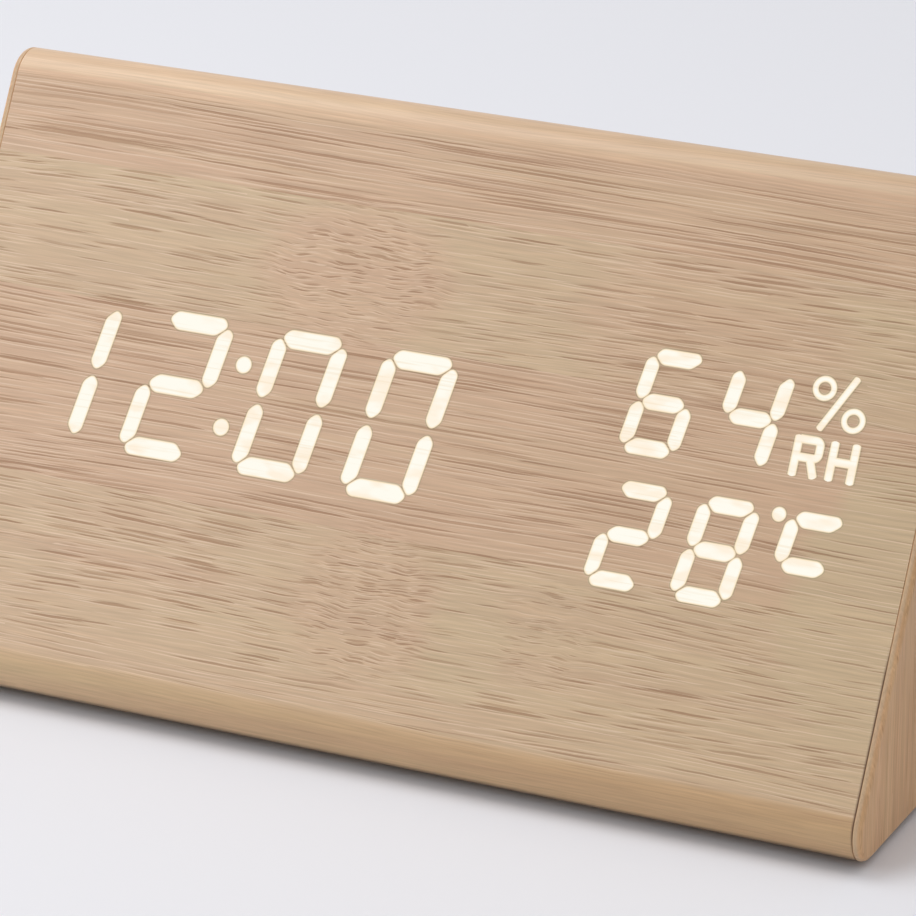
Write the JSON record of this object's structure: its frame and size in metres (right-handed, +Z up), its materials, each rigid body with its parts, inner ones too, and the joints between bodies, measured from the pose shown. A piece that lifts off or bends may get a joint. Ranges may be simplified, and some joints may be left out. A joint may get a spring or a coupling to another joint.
{
  "type": "digital led desk clock",
  "caption": "Three-sided desk clock whose time, temperature and humidity digits shine through a leaning bamboo face.",
  "frame": {"origin": "middle of the box's lowest face, under the foot pads", "axes": "+X along the clock to the right as its display is read, +Y from the display towards the rear housing, +Z up"},
  "size_m": [0.15, 0.092, 0.0817],
  "materials": {
    "bamboo_face": "light bamboo veneer, fine streaks, satin",
    "bamboo_end": "bamboo with upright grain, satin",
    "fibreboard": "sanded",
    "pad_rubber": "matt",
    "film": "frosted",
    "white_plastic": "moulded",
    "segment_lit": "clear filling, lit warm white",
    "segment_unlit": "clear filling",
    "led": "clear",
    "circuit_green": "lacquered",
    "chip_black": "moulded",
    "can_metal": "drawn",
    "screw_steel": "zinc plated",
    "nylon": "moulded",
    "ribbon_grey": "flat cable",
    "black_plastic": "fine moulded texture",
    "cell_jacket": "printed sleeve without words",
    "contact_nickel": "nickel plated",
    "lead_red": "insulation",
    "lead_black": "insulation",
    "button_plastic": "smooth",
    "switch_steel": "stamped",
    "knob_plastic": "moulded",
    "pin_brass": "turned",
    "sensor_white": "moulded",
    "coin_steel": "pressed"
  },
  "bodies": {
    "case": {"bamboo_wrap": "bamboo_face", "left_end_plate": "bamboo_end", "right_end_plate": "bamboo_end", "front_board": "fibreboard", "rear_board": "fibreboard", "base_board": "fibreboard", "left_end_board": "fibreboard", "right_end_board": "fibreboard", "foot_pads": "pad_rubber", "diffuser_film": "film", "display_housing": "white_plastic", "time_segments_lit": "segment_lit", "time_segments_unlit": "segment_unlit", "colon_dots": "segment_lit", "humidity_segments_lit": "segment_lit", "humidity_segments_unlit": "segment_unlit", "temperature_segments_lit": "segment_lit", "temperature_segments_unlit": "segment_unlit", "degree_dot": "segment_lit", "sign_light_blocks": "segment_lit", "display_leds": "led", "display_circuit_board": "circuit_green", "driver_chips": "chip_black", "smoothing_capacitors": "can_metal", "display_screws": "screw_steel", "display_spacers": "nylon", "ribbon_cable": "ribbon_grey", "rear_housing": "black_plastic", "rear_housing_screws": "screw_steel", "battery_cell_lower": "cell_jacket", "battery_cell_middle": "cell_jacket", "battery_cell_upper": "cell_jacket", "left_contacts": "contact_nickel", "right_contacts": "contact_nickel", "positive_lead": "lead_red", "negative_lead": "lead_black", "control_circuit_board": "circuit_green", "control_board_screws": "screw_steel", "button_switches": "switch_steel", "button_switch_stems": "chip_black", "slide_switch_body": "switch_steel", "power_socket": "black_plastic", "power_socket_pin": "pin_brass", "microphone": "can_metal", "climate_sensor": "sensor_white", "microcontroller": "chip_black", "quartz_crystal": "can_metal", "buzzer": "chip_black", "backup_cell_holder": "chip_black", "backup_cell": "coin_steel"},
    "set_button": {"set_button": "button_plastic"},
    "down_button": {"down_button": "button_plastic"},
    "up_button": {"up_button": "button_plastic"},
    "switch_knob": {"slide_switch_knob": "knob_plastic"},
    "battery_door": {"battery_door": "black_plastic"}
  },
  "joints": [
    {"name": "set_button_press", "type": "slide", "parent": "case", "child": "set_button", "axis": [0, -0.866, -0.5], "range_m": [0, 0.0005], "stiffness_N_per_m": 800},
    {"name": "down_button_press", "type": "slide", "parent": "case", "child": "down_button", "axis": [0, -0.866, -0.5], "range_m": [0, 0.0005], "stiffness_N_per_m": 800},
    {"name": "up_button_press", "type": "slide", "parent": "case", "child": "up_button", "axis": [0, -0.866, -0.5], "range_m": [0, 0.0005], "stiffness_N_per_m": 800},
    {"name": "switch_slide", "type": "slide", "parent": "case", "child": "switch_knob", "axis": [-1, 0, 0], "range_m": [0, 0.002]},
    {"name": "battery_door_tilt", "type": "hinge", "parent": "case", "child": "battery_door", "pos_m": [-0.02205, 0.03319, 0.02845], "axis": [-1, 0, 0], "range_deg": [0, 95]}
  ]
}
